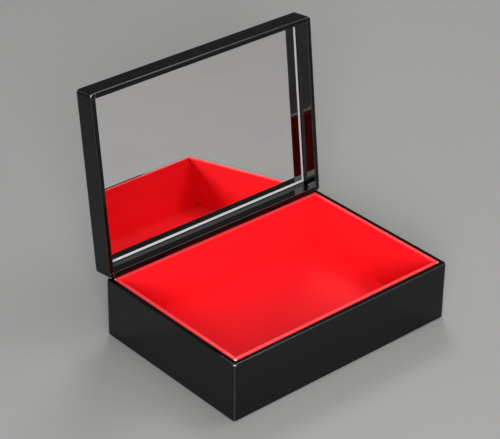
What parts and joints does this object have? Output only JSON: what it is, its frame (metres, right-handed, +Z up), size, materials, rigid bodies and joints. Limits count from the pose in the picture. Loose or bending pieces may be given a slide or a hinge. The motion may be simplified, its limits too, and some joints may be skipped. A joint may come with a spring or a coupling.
{
  "type": "lacquer box",
  "caption": "Shallow rectangular lacquered box whose hinged lid opens a little past upright and holds a bevelled mirror over a plain lined tray.",
  "frame": {"origin": "centre of the underside felt, on the surface that the box stands on", "axes": "+X along the box's length to the right seen from the front, +Y from the front to the hinge side, +Z up"},
  "size_m": [0.2, 0.1666, 0.1864],
  "materials": {
    "black_lacquer": "black lacquer on wood, polished to a high gloss",
    "red_lacquer": "scarlet lacquer on wood, satin",
    "black_felt": "short black felt",
    "dark_hinge_metal": "brass darkened almost to black, satin, brighter where it rubs",
    "mirror": "silvered glass with a ground slope round its edge",
    "grey_card": "plain grey card"
  },
  "bodies": {
    "base": {"base_front_board": "black_lacquer", "base_back_board": "black_lacquer", "base_left_board": "black_lacquer", "base_right_board": "black_lacquer", "base_bottom_panel": "black_lacquer", "base_felt": "black_felt", "lining_floor_panel": "red_lacquer", "lining_front_board": "red_lacquer", "lining_back_board": "red_lacquer", "lining_left_board": "red_lacquer", "lining_right_board": "red_lacquer", "base_hinge_screws": "dark_hinge_metal", "left_hinge_base_leaf": "dark_hinge_metal", "right_hinge_base_leaf": "dark_hinge_metal", "left_hinge_pin": "dark_hinge_metal", "right_hinge_pin": "dark_hinge_metal"},
    "lid": {"lid_front_rail": "black_lacquer", "lid_back_rail": "black_lacquer", "lid_left_rail": "black_lacquer", "lid_right_rail": "black_lacquer", "lid_top_panel": "black_lacquer", "mirror_backing_card": "grey_card", "mirror_glass": "mirror", "lid_hinge_screws": "dark_hinge_metal", "left_hinge_lid_leaf": "dark_hinge_metal", "right_hinge_lid_leaf": "dark_hinge_metal"}
  },
  "joints": [
    {"name": "lid_hinge", "type": "hinge", "parent": "base", "child": "lid", "pos_m": [0, 0.06775, 0.0496], "axis": [1, 0, 0], "range_deg": [0, 96.5]}
  ]
}
